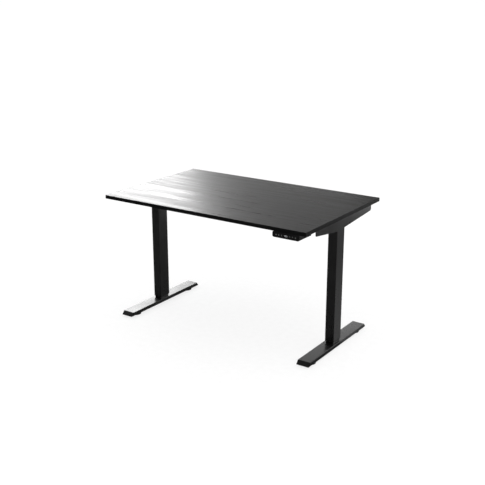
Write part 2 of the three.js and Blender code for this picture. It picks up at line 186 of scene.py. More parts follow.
def round_bar(name, radius, start, end, sides=48):
    bpy.ops.object.select_all(action="DESELECT")
    start, end = Vector(start), Vector(end)
    span = end - start
    turn = span.to_track_quat("Z", "Y").to_euler()
    bpy.ops.mesh.primitive_cylinder_add(
        vertices=sides, radius=radius, depth=span.length, location=(start + end) / 2, rotation=turn
    )
    return settle(bpy.context.object, name)


def tube(name, low, high, along, radius, wall, segments=6):
    """Rectangular tube with rounded corners, open at both ends."""
    piece = bar(name, low, high)
    bevel(piece, radius, segments, runs_along(along))
    open_edit(piece, "FACE", lambda face: abs(face.normal.dot(along)) > 0.99)
    bpy.ops.mesh.inset(thickness=wall)
    bpy.ops.mesh.bridge_edge_loops()
    close_edit()
    return piece


def copies(name, master, places):
    """Copies of a master that points along +Z, one at each (place, direction), as one piece."""
    made = []
    for place, direction in places:
        grab(master)
        bpy.ops.object.duplicate()
        copy = bpy.context.object
        copy.location = place
        copy.rotation_mode = "QUATERNION"
        copy.rotation_quaternion = Vector(direction).to_track_quat("Z", "Y")
        made.append(settle(copy, name))
    return together(name, *made)


# ---------------------------------------------------------------- finishes
class Recipe:
    """A material under construction, on Object coordinates."""

    def __init__(self, name):
        self.material = bpy.data.materials.new(name)
        self.material.use_nodes = True
        self.nodes = self.material.node_tree.nodes
        self.links = self.material.node_tree.links
        self.shader = self.nodes["Principled BSDF"]
        self.place = self.nodes.new("ShaderNodeTexCoord").outputs["Object"]

    def stretched(self, scale):
        mapping = self.nodes.new("ShaderNodeMapping")
        mapping.inputs["Scale"].default_value = scale
        self.links.new(self.place, mapping.inputs["Vector"])
        return mapping.outputs["Vector"]

    def noise(self, scale, detail=3.0, roughness=0.5, distortion=0.0, place=None):
        node = self.nodes.new("ShaderNodeTexNoise")
        node.inputs["Scale"].default_value = scale
        node.inputs["Detail"].default_value = detail
        node.inputs["Roughness"].default_value = roughness
        node.inputs["Distortion"].default_value = distortion
        self.links.new(place or self.place, node.inputs["Vector"])
        return node.outputs["Fac"]

    def spread(self, value, low, high, start=0.3, end=0.7):
        node = self.nodes.new("ShaderNodeMapRange")
        node.inputs["From Min"].default_value = start
        node.inputs["From Max"].default_value = end
        node.inputs["To Min"].default_value = low
        node.inputs["To Max"].default_value = high
        self.links.new(value, node.inputs["Value"])
        return node.outputs["Result"]

    def shades(self, value, *stops):
        node = self.nodes.new("ShaderNodeValToRGB")
        ramp = node.color_ramp
        while len(ramp.elements) < len(stops):
            ramp.elements.new(0.5)
        for element, (position, colour) in zip(ramp.elements, stops):
            element.position = position
            element.color = (*colour, 1)
        self.links.new(value, node.inputs["Fac"])
        return node.outputs["Color"]

    def blended(self, factor, first, second, kind="MIX"):
        node = self.nodes.new("ShaderNodeMix")
        node.data_type = "RGBA"
        node.blend_type = kind
        node.inputs["Factor"].default_value = factor
        self.links.new(first, node.inputs["A"])
        self.links.new(second, node.inputs["B"])
        return node.outputs["Result"]

    def averaged(self, first, second):
        node = self.nodes.new("ShaderNodeMix")
        node.inputs["Factor"].default_value = 0.5
        self.links.new(first, node.inputs["A"])
        self.links.new(second, node.inputs["B"])
        return node.outputs["Result"]

    def colour(self, value):
        self.links.new(value, self.shader.inputs["Base Color"])

    def roughness(self, value):
        self.links.new(value, self.shader.inputs["Roughness"])

    def bumps(self, *layers):
        """Each layer is a height, how strongly it shows, and its depth in metres."""
        below = None
        for height, strength, depth in layers:
            node = self.nodes.new("ShaderNodeBump")
            node.inputs["Strength"].default_value = strength
            node.inputs["Distance"].default_value = depth
            self.links.new(height, node.inputs["Height"])
            if below:
                self.links.new(below, node.inputs["Normal"])
            below = node.outputs["Normal"]
        self.links.new(below, self.shader.inputs["Normal"])


def grey(level, warmth=0.0):
    return (level * (1 + warmth), level, level * (1 - warmth))


def wood_laminate():
    """Black melamine with a pressed timber grain that runs the length of the top."""
    recipe = Recipe("wood_laminate")
    figure = recipe.noise(3.0, 6, 0.6, 0.3, recipe.stretched((0.40, 8.0, 1.0)))
    streaks = recipe.noise(11.0, 9, 0.66, 0.2, recipe.stretched((0.35, 9.0, 1.0)))
    pores = recipe.noise(46.0, 3, 0.5, 0.0, recipe.stretched((0.35, 14.0, 1.0)))
    broad = recipe.shades(
        figure, (0.36, grey(0.009, 0.03)), (0.50, grey(0.024, 0.04)), (0.64, grey(0.052, 0.06))
    )
    fine = recipe.shades(streaks, (0.38, grey(0.009)), (0.52, grey(0.024, 0.03)), (0.68, grey(0.050, 0.05)))
    grain = recipe.blended(0.45, broad, fine)
    dark = recipe.shades(pores, (0.38, grey(0.30)), (0.48, grey(1.0)))
    recipe.colour(recipe.blended(0.85, grain, dark, "MULTIPLY"))
    recipe.roughness(recipe.spread(recipe.averaged(figure, streaks), 0.26, 0.44, 0.40, 0.60))
    recipe.bumps((pores, 0.35, 0.10 * MM), (streaks, 0.35, 0.11 * MM), (figure, 0.25, 0.35 * MM))
    recipe.shader.inputs["Specular IOR Level"].default_value = 0.36
    return recipe.material


def coated(name, level, roughness, texture, depth, warmth=0.0, metallic=0.0, mottle=6.0, gloss=0.5):
    """A coat or moulding whose fine texture and slow unevenness both show."""
    recipe = Recipe(name)
    slow = recipe.noise(mottle, 3, 0.5)
    fine = recipe.noise(texture, 2, 0.6)
    tone = recipe.shades(slow, (0.35, grey(level * 0.88, warmth)), (0.65, grey(level * 1.12, warmth)))
    speck = recipe.shades(fine, (0.35, grey(0.90)), (0.65, grey(1.0)))
    recipe.colour(recipe.blended(0.6, tone, speck, "MULTIPLY"))
    recipe.roughness(recipe.spread(slow, roughness - 0.04, roughness + 0.05))
    recipe.bumps((fine, 0.35, depth))
    recipe.shader.inputs["Metallic"].default_value = metallic
    recipe.shader.inputs["Specular IOR Level"].default_value = gloss
    return recipe.material


def machined_steel(name, level, along, roughness=0.28):
    """Bright bar with fine drawn lines along one axis."""
    recipe = Recipe(name)
    scale = [900.0, 900.0, 900.0]
    scale[along] = 12.0
    lines = recipe.noise(1.0, 3, 0.6, 0.0, recipe.stretched(scale))
    stains = recipe.noise(14.0, 4, 0.6)
    tone = recipe.shades(lines, (0.30, grey(level * 0.82)), (0.70, grey(level)))
    film = recipe.shades(stains, (0.38, grey(0.80, 0.02)), (0.62, grey(1.0)))
    recipe.colour(recipe.blended(0.7, tone, film, "MULTIPLY"))
    recipe.roughness(recipe.spread(lines, roughness - 0.05, roughness + 0.12))
    recipe.bumps((lines, 0.2, 0.02 * MM))
    recipe.shader.inputs["Metallic"].default_value = 1.0
    return recipe.material


def solder_mask():
    recipe = Recipe("solder_mask")
    tracks = recipe.noise(160.0, 0, 0.5, 0.0, recipe.stretched((1.0, 3.0, 1.0)))
    recipe.colour(recipe.shades(tracks, (0.46, (0.010, 0.060, 0.022)), (0.54, (0.022, 0.115, 0.045))))
    recipe.roughness(recipe.spread(tracks, 0.25, 0.4))
    recipe.bumps((tracks, 0.3, 0.05 * MM))
    return recipe.material


def smoked_window():
    recipe = Recipe("smoked_window")
    smears = recipe.noise(60.0, 3, 0.6)
    recipe.colour(recipe.shades(smears, (0.3, grey(0.004)), (0.7, grey(0.007))))
    recipe.roughness(recipe.spread(smears, 0.06, 0.14))
    return recipe.material


def lit_segment():
    recipe = Recipe("lit_segment")
    evenness = recipe.noise(400.0, 1, 0.5)
    recipe.colour(recipe.shades(evenness, (0.3, grey(0.75)), (0.7, grey(0.9))))
    recipe.shader.inputs["Emission Color"].default_value = (0.86, 0.93, 1.0, 1)
    recipe.shader.inputs["Emission Strength"].default_value = 0.16
    recipe.shader.inputs["Roughness"].default_value = 0.4
    return recipe.material


def legend_ink():
    recipe = Recipe("legend_ink")
    print_grain = recipe.noise(2500.0, 2, 0.6)
    recipe.colour(recipe.shades(print_grain, (0.3, grey(0.50)), (0.7, grey(0.62))))
    recipe.roughness(recipe.spread(print_grain, 0.5, 0.65))
    return recipe.material


FINISHES = {
    "laminate": wood_laminate(),
    "edge_band": coated("edge_band_plastic", 0.006, 0.50, 900.0, 0.03 * MM, gloss=0.14),
    "powder_coat": coated("powder_coat", 0.012, 0.30, 1500.0, 0.04 * MM, mottle=9.0, gloss=0.6),
    "black_plastic": coated("black_plastic", 0.008, 0.46, 1300.0, 0.05 * MM, gloss=0.35),
    "leveller_plastic": coated("leveller_plastic", 0.014, 0.58, 700.0, 0.06 * MM),
    "nylon": coated("nylon", 0.62, 0.42, 300.0, 0.03 * MM, warmth=0.05),
    "steel": machined_steel("drawn_steel", 0.52, 0),
    "motor_paint": coated("motor_paint", 0.014, 0.38, 500.0, 0.03 * MM),
    "zinc": coated("die_cast_zinc", 0.34, 0.42, 420.0, 0.08 * MM, metallic=0.85),
    "circuit_board": solder_mask(),
    "display": smoked_window(),
    "key_plastic": coated("key_plastic", 0.020, 0.40, 1600.0, 0.03 * MM),
    "lead_sheath": coated("lead_sheath", 0.012, 0.55, 1100.0, 0.04 * MM),
}
UPRIGHT_STEEL = machined_steel("ground_steel", 0.52, 2)
ZINC_SCREW = machined_steel("plated_screw", 0.45, 2, 0.34)
BLACK_SCREW = coated("black_oxide", 0.030, 0.34, 800.0, 0.02 * MM, metallic=0.7)
CHIPBOARD = coated("chipboard_core", 0.24, 0.8, 260.0, 0.3 * MM, warmth=0.25)
BACKING = coated("backing_paper", 0.020, 0.52, 700.0, 0.05 * MM, mottle=3.0)
LIT = lit_segment()
INK = legend_ink()


def fit(piece, body, slot, *stands_for, material=None):
    """Evens the shading of the finished piece, gives it its finish and fixes it to its body."""
    grab(piece)
    bpy.ops.object.modifier_add(type="WEIGHTED_NORMAL")
    evening = piece.modifiers[-1]
    evening.keep_sharp = True
    bpy.ops.object.modifier_apply(modifier=evening.name)
    piece.data.materials.clear()
    piece.data.materials.append(material or FINISHES[slot])
    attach(piece, body)
    if stands_for:
        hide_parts(*stands_for)
    return piece


def fasten(name, master, places, material, body="lift"):
    """A set of like screws or bolts, one at each (place, direction)."""
    fit(copies(name, master, places), body, "steel", material=material)


# ---------------------------------------------------------------- screws, modelled once
def cross_screw(name, radius, height):
    """Domed wood screw head with a cross recess, seated on z = 0."""
    head = round_bar(name, radius, (0, 0, 0), (0, 0, height), 32)
    bevel(head, height * 0.75, 4, lies_at(UP, height))
    arm, width = radius * 0.55, radius * 0.13
    for x, y in ((arm, width), (width, arm)):
        bore(head, bar("recess", (-x, -y, height * 0.35), (x, y, height * 2)))
    return ease(head, 0.12 * MM, 1)


def socket_screw(name, radius, height):
    """Cylindrical cap screw with a hexagon socket, seated on z = 0."""
    head = round_bar(name, radius, (0, 0, 0), (0, 0, height), 40)
    socket = round_bar("recess", radius * 0.58, (0, 0, height * 0.4), (0, 0, height * 2), 6)
    bore(head, socket)
    return ease(head, radius * 0.08, 2)


WOOD_SCREW = cross_screw("wood_screw_master", 4.2 * MM, 2.6 * MM)
SMALL_SCREW = cross_screw("small_screw_master", 2.7 * MM, 1.6 * MM)
CAP_SCREW = socket_screw("cap_screw_master", 6.2 * MM, 6.0 * MM)
BUTTON_BOLT = socket_screw("button_bolt_master", 5.5 * MM, 3.2 * MM)
MASTERS = [WOOD_SCREW, SMALL_SCREW, CAP_SCREW, BUTTON_BOLT]


# ---------------------------------------------------------------- top
def make_top():
    low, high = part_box("desktop")
    sheet = 0.8 * MM
    core = bar("desktop_core", (low.x, low.y, low.z + sheet), (high.x, high.y, high.z - sheet))
    fit(ease(core, 0.1 * MM, 1), "lift", "laminate", "desktop", material=CHIPBOARD)
    face = bar("desktop_laminate", (low.x, low.y, high.z - sheet), high)
    fit(ease(face, 0.15 * MM, 2), "lift", "laminate", "desktop")
    backing = bar("desktop_backing", low, (high.x, high.y, low.z + sheet))
    fit(ease(backing, 0.15 * MM, 1), "lift", "laminate", "desktop", material=BACKING)

    low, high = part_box("desktop_edge_band")
    band = bar("desktop_edge_band_moulded", low, high)
    bevel(band, 1.5 * MM, 4, runs_along(UP))
    open_edit(band, "FACE", lambda face: abs(face.normal.z) > 0.99)
    bpy.ops.mesh.inset(thickness=1.95 * MM)
    bpy.ops.mesh.bridge_edge_loops()
    close_edit()

    def outer_rim(edge):
        level = lies_at(UP, high.z)(edge) or lies_at(UP, low.z)(edge)
        middle = (edge.verts[0].co + edge.verts[1].co) / 2
        outside = abs(middle.x) > high.x - 1.6 * MM or abs(middle.y) > high.y - 1.6 * MM
        return level and outside

    bevel(band, 0.8 * MM, 4, outer_rim)
    bpy.ops.object.shade_smooth_by_angle(angle=math.radians(30))
    fit(band, "lift", "edge_band", "desktop_edge_band")


# ---------------------------------------------------------------- feet
def make_foot(hand):
    body = f"{hand}_base"
    low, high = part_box(f"{hand}_foot")
    centre = (low.x + high.x) / 2
    foot = tube(f"{hand}_foot_tube", low, high, BACK, 2.2 * MM, 2 * MM)
    floor_z, roof_z = low.z + 2 * MM, high.z - 2 * MM
    screw_places = [(centre + x * MM, y * MM) for x in (-12, 12) for y in (-24, 24)]
    for x, y in screw_places:
        bore(foot, round_bar("hole", 9 * MM, (x, y, low.z - MM), (x, y, floor_z + MM), 32))
    pads = [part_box(f"{hand}_leveller_{end}") for end in ("front", "rear")]
    stud_places = [(centre, (pad_low.y + pad_high.y) / 2) for pad_low, pad_high in pads]
    for x, y in stud_places:
        bore(foot, round_bar("hole", 4.6 * MM, (x, y, low.z - MM), (x, y, floor_z + MM), 32))
    fit(ease(foot, 0.25 * MM, 2), body, "powder_coat", f"{hand}_foot")

    places = [((x, y, roof_z), -UP) for x, y in screw_places]
    fasten(f"{hand}_foot_bolts", CAP_SCREW, places, BLACK_SCREW, body)
    nuts = []
    for x, y in stud_places:
        nut = round_bar("nut", 7.5 * MM, (x, y, floor_z), (x, y, floor_z + 6.5 * MM), 6)
        bore(nut, round_bar("thread", 4.3 * MM, (x, y, floor_z - MM), (x, y, floor_z + 9 * MM), 32))
        nuts.append(ease(nut, 0.4 * MM, 2))
    fit(together(f"{hand}_foot_nuts", *nuts), body, "steel", material=ZINC_SCREW)

    for end, way in (("front", -1), ("rear", 1)):
        make_foot_cap(hand, end, way, low, high)
        make_leveller(f"{hand}_leveller_{end}")


def make_foot_cap(hand, end, way, low, high):
    """Moulded end cap whose outer face slopes down to the floor."""
    node = f"{hand}_foot_cap_{end}"
    cap_low, cap_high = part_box(node)
    joint = way * (high.y + 0.3 * MM)
    tip = cap_high.y if way > 0 else cap_low.y
    front, rear = sorted((joint, tip))
    cap = bar(f"{node}_moulded", (low.x, front, low.z), (high.x, rear, high.z))
    run = abs(tip - joint) - 2.5 * MM
    open_edit(cap, "EDGE", lambda edge: lies_at(BACK, tip)(edge) and lies_at(UP, high.z)(edge))
    bpy.ops.transform.translate(value=(0, -way * run, 0))
    close_edit()
    bevel(cap, 2.2 * MM, 5, lambda edge: not lies_at(BACK, joint)(edge))
    gap = 2.6 * MM
    near, far = sorted((joint - way * 20 * MM, joint))
    plug = bar("plug", (low.x + gap, near, low.z + gap), (high.x - gap, far, high.z - gap))
    cap = together(f"{node}_moulded", ease(plug, 0.8 * MM, 2), cap)
    bpy.ops.object.shade_smooth_by_angle(angle=math.radians(30))
    fit(cap, f"{hand}_base", "black_plastic", node)


def make_leveller(node):
    """Ribbed levelling pad on a threaded stud."""
    low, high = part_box(node)
    x, y = (low.x + high.x) / 2, (low.y + high.y) / 2
    radius = (high.x - low.x) / 2 - 0.8 * MM
    top = low.z + 8 * MM
    pad = round_bar(f"{node}_pad", radius, (x, y, low.z), (x, y, top), 72)
    axis = Vector((x, y, 0))

    def rib(face):
        middle = face.calc_center_median() - axis
        turn = math.atan2(middle.y, middle.x) % (math.tau / 24)
        return abs(face.normal.z) < 0.1 and turn < math.tau / 72

    open_edit(pad, "FACE", rib)
    bpy.ops.mesh.extrude_region_shrink_fatten(TRANSFORM_OT_shrink_fatten={"value": 0.7 * MM})
    close_edit()
    open_edit(pad, "FACE", facing(UP))
    bpy.ops.mesh.inset(thickness=3 * MM)
    bpy.ops.transform.translate(value=(0, 0, -1.2 * MM))
    bpy.ops.mesh.inset(thickness=radius - 3 * MM - 8 * MM)
    pull((0, 0, 2.4 * MM))
    close_edit()
    stud = make_thread("stud", 4 * MM, 3.3 * MM, 1.25 * MM, (x, y, low.z + 6 * MM), high.z)
    pad = together(f"{node}_pad", ease(stud, 0.1 * MM, 1), ease(pad, 0.35 * MM, 2))
    fit(pad, node, "leveller_plastic", node)


def make_thread(name, crest, root, pitch, foot, top):
    """Threaded rod made as a stack of ridges from the foot up to the top."""
    x, y, z = foot
    rod = round_bar(name, root, foot, (x, y, top), 24)
    turns = int((top - z) / pitch)
    for turn in range(1, turns):
        open_edit(rod, "VERT", everything)
        bpy.ops.mesh.bisect(plane_co=(x, y, z + turn * pitch), plane_no=(0, 0, 1))
        close_edit()
    axis = Vector((x, y, 0))

    def crest_line(edge):
        middle = (edge.verts[0].co + edge.verts[1].co) / 2
        step = (middle.z - z) / pitch
        level = abs(edge.verts[0].co.z - edge.verts[1].co.z) < TINY
        return level and 0.5 < step < turns - 0.5 and abs(step - round(step)) < 0.05

    bevel(rod, pitch * 0.35, 2, crest_line)
    open_edit(rod, "EDGE", crest_line)
    scale = crest / root
    bpy.ops.transform.resize(value=(scale, scale, 1), center_override=axis)
    close_edit()
    return rod


# ---------------------------------------------------------------- columns
def make_columns(hand):
    low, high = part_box(f"{hand}_inner_column")
    inner = tube(f"{hand}_inner_tube", low, high, UP, 3 * MM, 2 * MM)
    fit(ease(inner, 0.25 * MM, 2), f"{hand}_base", "powder_coat", f"{hand}_inner_column")

    low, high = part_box(f"{hand}_outer_column")
    outer = tube(f"{hand}_outer_tube", low, high, UP, 3 * MM, 2 * MM, 8)
    fit(ease(outer, 0.25 * MM, 2), "lift", "powder_coat", f"{hand}_outer_column")


def make_collar(hand):
    """Glide at the foot of the outer column: a lip below it and a sleeve up inside."""
    lip_low, lip_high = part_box(f"{hand}_bottom_collar")
    lip_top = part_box(f"{hand}_outer_column")[0].z
    lip = bar(f"{hand}_collar", lip_low, (lip_high.x, lip_high.y, lip_top))
    bevel(lip, 3 * MM, 8, runs_along(UP))
    rim = 3.25 * MM
    way_in = bar(
        "opening",
        (lip_low.x + rim, lip_low.y + rim, lip_low.z - MM),
        (lip_high.x - rim, lip_high.y - rim, lip_top + MM),
    )
    bore(lip, way_in)
    slip = 2.25 * MM
    sleeve_low = (lip_low.x + slip, lip_low.y + slip, lip_top - 0.5 * MM)
    sleeve_high = (lip_high.x - slip, lip_high.y - slip, lip_high.z)
    sleeve = tube("sleeve", sleeve_low, sleeve_high, UP, 1.2 * MM, MM)
    collar = together(f"{hand}_collar", ease(sleeve, 0.15 * MM, 1), ease(lip, 0.6 * MM, 3))
    fit(collar, "lift", "black_plastic", f"{hand}_bottom_collar")


# ---------------------------------------------------------------- side brackets
def make_side_bracket(hand):
    """Sheet steel folded over at the top, deepest at the leg and tapering to both ends."""
    side = SIDES[hand]
    low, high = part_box(f"{hand}_side_bracket")
    sheet = 2.5 * MM
    outside = high.x if side > 0 else low.x
    inside = outside - side * sheet
    peak_y, front_z, rear_z = -41 * MM, high.z - 35 * MM, high.z - 38 * MM
    left, right = sorted((outside, inside))
    web = bar(f"{hand}_bracket", (left, low.y, low.z), (right, high.y, high.z))
    open_edit(web, "FACE", everything)
    bpy.ops.mesh.bisect(plane_co=(0, peak_y, 0), plane_no=BACK)
    bpy.ops.mesh.select_all(action="SELECT")
    bpy.ops.mesh.bisect(plane_co=(0, 0, high.z - sheet), plane_no=UP)
    close_edit()
    for end, level in ((low.y, front_z), (high.y, rear_z)):
        open_edit(web, "EDGE", lambda edge: lies_at(BACK, end)(edge) and lies_at(UP, low.z)(edge))
        bpy.ops.transform.translate(value=(0, 0, level - low.z))
        close_edit()

    def inner_strip(face):
        return facing(-side * RIGHT)(face) and face.calc_center_median().z > high.z - sheet

    open_edit(web, "FACE", inner_strip)
    pull((-side * (high.x - low.x - sheet), 0, 0))
    close_edit()

    def lower_corner(edge):
        return any(
            lies_at(BACK, end)(edge) and lies_at(UP, level)(edge)
            for end, level in ((low.y, front_z), (high.y, rear_z))
        )

    def folded_edge(edge):
        return runs_along(BACK)(edge) and lies_at(UP, high.z)(edge) and lies_at(RIGHT, outside)(edge)

    bevel(web, 9 * MM, 8, lower_corner)
    bevel(web, 3 * MM, 5, folded_edge)
    tip = outside - side * (high.x - low.x)
    bevel(web, 6 * MM, 5, lambda edge: runs_along(UP)(edge) and lies_at(RIGHT, tip)(edge))
    bevel(web, 12 * MM, 6, lambda edge: lies_at(BACK, peak_y)(edge) and lies_at(UP, low.z)(edge))
    fit(ease(web, 0.35 * MM, 2), "lift", "powder_coat", f"{hand}_side_bracket")
    middle = (inside + tip) / 2
    span = [low.y + 24 * MM + step * (high.y - low.y - 48 * MM) / 4 for step in range(5)]
    places = [((middle, y, high.z - sheet), -UP) for y in span if abs(y) > 45 * MM]
    fasten(f"{hand}_bracket_screws", WOOD_SCREW, places, ZINC_SCREW)


# ---------------------------------------------------------------- head frames and rails
def make_head(hand):
    side = SIDES[hand]
    low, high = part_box(f"{hand}_head_frame")
    rail_y, rail_end, cap_end = 60 * MM, 585 * MM, 587 * MM
    plate_x = sorted((side * 505 * MM, side * 587.8 * MM))
    plate_top = low.z + 3 * MM
    plate = bar("plate", (plate_x[0], low.y, low.z), (plate_x[1], high.y, plate_top))
    bevel(plate, 8 * MM, 6, runs_along(UP))
    beads = [make_weld_bead(hand)]
    rails = []
    half = 12.75 * MM
    for y in (-rail_y, rail_y):
        near, far = sorted((side * 200 * MM, side * rail_end))
        rail_low, rail_high = (near, y - half, plate_top), (far, y + half, high.z)
        rail = tube("rail", rail_low, rail_high, RIGHT, 2.5 * MM, 2 * MM)
        rails.append(ease(rail, 0.2 * MM, 2))
        beads.append(make_rail_weld(side, y - half, plate_top))
        beads.append(make_rail_weld(side, y + half, plate_top))
    head = together(f"{hand}_head", *rails, *beads, ease(plate, 0.4 * MM, 2))
    fit(head, "lift", "powder_coat", f"{hand}_head_frame")
    near, far = sorted((side * rail_end, side * cap_end))
    for end, y in (("front", -rail_y), ("rear", rail_y)):
        cap_low, cap_high = (near, y - 12 * MM, plate_top + MM), (far, y + 12 * MM, high.z - MM)
        cap = bar(f"{hand}_rail_cap_{end}", cap_low, cap_high)
        bevel(cap, 2 * MM, 4, runs_along(RIGHT))
        fit(ease(cap, 0.4 * MM, 2), "lift", "black_plastic")
    places = [((side * x * MM, y * MM, low.z), -UP) for x in (520, 575) for y in (-82, 82)]
    fasten(f"{hand}_head_bolts", BUTTON_BOLT, places, BLACK_SCREW)


def make_weld_bead(hand):
    """Fillet of weld round the top of the outer column, under the head plate."""
    low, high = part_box(f"{hand}_outer_column")
    bead_low = (low.x - 2 * MM, low.y - 2 * MM, high.z - 2.4 * MM)
    bead_high = (high.x + 1.6 * MM, high.y + 2 * MM, high.z)
    bead = tube("bead", bead_low, bead_high, UP, 4.5 * MM, 2.2 * MM, 8)
    open_edit(bead, "FACE", everything)
    bpy.ops.mesh.subdivide(number_cuts=3, smoothness=0)
    close_edit()
    return ripple(bead, 0.35 * MM)


def make_rail_weld(side, y, z):
    ends = sorted((side * 508 * MM, side * 583 * MM))
    bead = round_bar("bead", 1.7 * MM, (ends[0], y, z), (ends[1], y, z), 12)
    open_edit(bead, "FACE", everything)
    bpy.ops.mesh.bisect(plane_co=(ends[0], y, z), plane_no=RIGHT)
    close_edit()
    open_edit(bead, "EDGE", runs_along(RIGHT))
    bpy.ops.mesh.subdivide(number_cuts=40)
    close_edit()
    return ripple(bead, 0.3 * MM)


def ripple(piece, depth):
    """Stacked-coin ripple of a weld run, with a rounded crest."""
    grab(piece)
    ripples = bpy.data.textures.new("weld_ripple", "CLOUDS")
    ripples.noise_scale = 3.2 * MM
    bpy.ops.object.modifier_add(type="DISPLACE")
    shift = piece.modifiers[-1]
    shift.texture = ripples
    shift.texture_coords = "LOCAL"
    shift.strength = depth
    bpy.ops.object.modifier_apply(modifier=shift.name)
    bpy.ops.object.shade_smooth_by_angle(angle=math.radians(60))
    return piece


def make_cross_rails():
    for name in ("front_cross_rail", "rear_cross_rail"):
        low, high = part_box(name)
        y = (low.y + high.y) / 2
        rail = tube(f"{name}_tube", low, high, RIGHT, 3 * MM, 2 * MM)
        for x in (-1, 1):
            slot_x = x * (high.x - 60 * MM)
            slot_low = (slot_x - 22 * MM, y - 3.6 * MM, low.z - MM)
            slot = bar("slot", slot_low, (slot_x + 22 * MM, y + 3.6 * MM, low.z + 3 * MM))
            bevel(slot, 3.5 * MM, 6, runs_along(UP))
            bore(rail, slot)
        fit(ease(rail, 0.25 * MM, 2), "lift", "powder_coat", name)
        places = [((x * MM, y, low.z), -UP) for x in (-280, -262, 262, 280)]
        fasten(f"{name}_bolts", BUTTON_BOLT, places, BLACK_SCREW)
        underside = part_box("desktop")[0].z
        pads = []
        for x in (-240, 0, 240):
            pad = round_bar("pad", 10 * MM, (x * MM, y, high.z), (x * MM, y, underside), 40)
            pads.append(ease(pad, 1.2 * MM, 3))
        fit(together(f"{name}_pads", *pads), "lift", "lead_sheath")


# ---------------------------------------------------------------- gearboxes, shaft and motor
def shaft_height():
    low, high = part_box("drive_shaft")
    return (low.z + high.z) / 2


def make_gearbox_cover(hand):
    side = SIDES[hand]
    node = f"{hand}_gearbox_cover"
    low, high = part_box(node)
    cover = bar(f"{node}_moulded", low, high)
    hollow(cover, -UP, 2.5 * MM, high.z - low.z - 2.5 * MM)

    def outer_corner(edge):
        end = edge.verts[0].co
        at_end = abs(end.x - low.x) < TINY or abs(end.x - high.x) < TINY
        return runs_along(UP)(edge) and at_end and abs(abs(end.y) - high.y) < TINY

    bevel(cover, 6 * MM, 6, outer_corner)
    wall = low.x if side > 0 else high.x
    shaft_z = shaft_height()
    hole = round_bar("hole", 8 * MM, (wall - 6 * MM, 0, shaft_z), (wall + 6 * MM, 0, shaft_z), 40)
    bore(cover, hole)
    boss = round_bar("boss", 11.5 * MM, (wall - side * 4 * MM, 0, shaft_z), (wall, 0, shaft_z), 48)
    hole = round_bar("hole", 8 * MM, (wall - 8 * MM, 0, shaft_z), (wall + 8 * MM, 0, shaft_z), 40)
    bore(boss, hole)
    ribs = []
    near, far = sorted((wall - side * 2 * MM, wall))
    for y in (-30, -20, 20, 30):
        rib_low = (near, (y - 0.8) * MM, low.z + 3 * MM)
        ribs.append(bar("rib", rib_low, (far, (y + 0.8) * MM, high.z - 4 * MM)))
    parts = [ease(rib, 0.4 * MM, 2) for rib in ribs] + [ease(boss, 0.5 * MM, 2), ease(cover, 0.8 * MM, 3)]
    fit(together(f"{node}_moulded", *parts), "lift", "black_plastic", node)


def make_drive_shaft():
    low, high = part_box("drive_shaft")
    z = shaft_height()
    radius = (high.y - low.y) / 2
    shaft = round_bar("hex_drive_shaft", radius, (low.x, 0, z), (high.x, 0, z), 6)
    fit(ease(shaft, 0.5 * MM, 2), "drive_shaft", "steel", "drive_shaft")


def make_gear_case():
    low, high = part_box("motor_gear_case")
    case = bar("motor_case_cast", low, high)
    hollow(case, -RIGHT, 2.5 * MM, high.x - low.x - 2.5 * MM)
    pinion_z = 630 * MM
    for z, radius in ((shaft_height(), 8 * MM), (pinion_z, 6 * MM)):
        bore(case, round_bar("hole", radius, (high.x - 6 * MM, 0, z), (high.x + 6 * MM, 0, z), 40))

    def outer_corner(edge):
        end = edge.verts[0].co
        at_end = abs(end.z - low.z) < TINY or abs(end.z - high.z) < TINY
        return runs_along(RIGHT)(edge) and at_end and abs(abs(end.y) - high.y) < TINY

    bevel(case, 7 * MM, 6, outer_corner)
    ribs = []
    for level in (618, 636, 654, 672):
        for y in (low.y - 1.6 * MM, high.y):
            rib_low = (low.x + 3 * MM, y, (level - 0.8) * MM)
            rib_high = (high.x - 3 * MM, y + 1.6 * MM, (level + 0.8) * MM)
            ribs.append(bar("rib", rib_low, rib_high))
    parts = [ease(rib, 0.3 * MM, 1) for rib in ribs] + [ease(case, 0.7 * MM, 2)]
    fit(together("motor_case_cast", *parts), "lift", "zinc", "motor_gear_case")


def make_gear_lid():
    low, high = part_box("motor_gear_lid")
    z = shaft_height()
    lid = bar("motor_lid_cast", low, high)
    bevel(lid, 7 * MM, 6, runs_along(RIGHT))
    bore(lid, round_bar("hole", 8 * MM, (low.x - 5 * MM, 0, z), (high.x + 5 * MM, 0, z), 40))
    fit(ease(lid, 0.5 * MM, 2), "lift", "zinc", "motor_gear_lid")
    places = [((low.x, y * MM, height * MM), -RIGHT) for y in (-20, 20) for height in (610, 647, 684)]
    fasten("motor_lid_screws", SMALL_SCREW, places, ZINC_SCREW)


